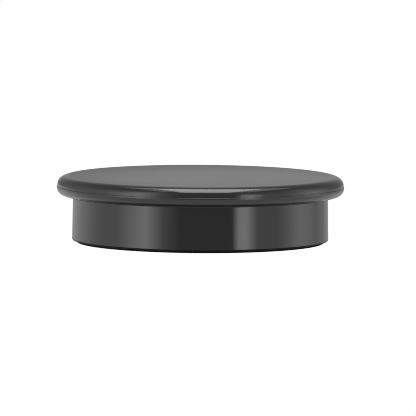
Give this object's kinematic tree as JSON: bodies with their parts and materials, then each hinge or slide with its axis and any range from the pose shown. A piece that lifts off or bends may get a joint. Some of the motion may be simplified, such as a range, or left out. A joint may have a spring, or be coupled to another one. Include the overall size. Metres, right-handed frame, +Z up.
{
  "type": "magnetic security tag detacher",
  "caption": "Round black counter-top magnetic tag detacher: a plain flanged disc over a short cylindrical body that drops into a counter cut-out.",
  "frame": {"origin": "centre of the rubber foot's lower face, on the surface the detacher stands on", "axes": "+Z up through the top face along the body's axis; the cage screws lie on X and the mounting inserts on Y"},
  "size_m": [0.0896, 0.0896, 0.0207],
  "materials": {
    "cap_plastic": "black, fine spark-eroded satin",
    "cup_plastic": "black, polished",
    "rubber": "black, matt, moulded",
    "foam": "dark grey closed-cell foam",
    "zinced_iron": "zinc-plated pressed iron",
    "nylon": "natural moulded nylon",
    "nickel": "nickel-plated sintered magnet",
    "stainless": "bright stainless steel",
    "brass": "turned and knurled"
  },
  "bodies": {
    "root": {"top_cap": "cap_plastic", "body_cup": "cup_plastic", "rubber_foot": "rubber", "flange_gasket": "rubber", "cap_seal": "rubber", "foam_pad": "foam", "back_iron": "zinced_iron", "magnet_cage": "nylon", "centre_magnet": "nickel", "ring_magnet_1": "nickel", "ring_magnet_2": "nickel", "ring_magnet_3": "nickel", "ring_magnet_4": "nickel", "ring_magnet_5": "nickel", "ring_magnet_6": "nickel", "ring_magnet_7": "nickel", "ring_magnet_8": "nickel", "case_screw_1": "stainless", "case_screw_2": "stainless", "case_screw_3": "stainless", "case_screw_4": "stainless", "cage_screw_1": "stainless", "cage_screw_2": "stainless", "mount_insert_1": "brass", "mount_insert_2": "brass"}
  },
  "joints": []
}
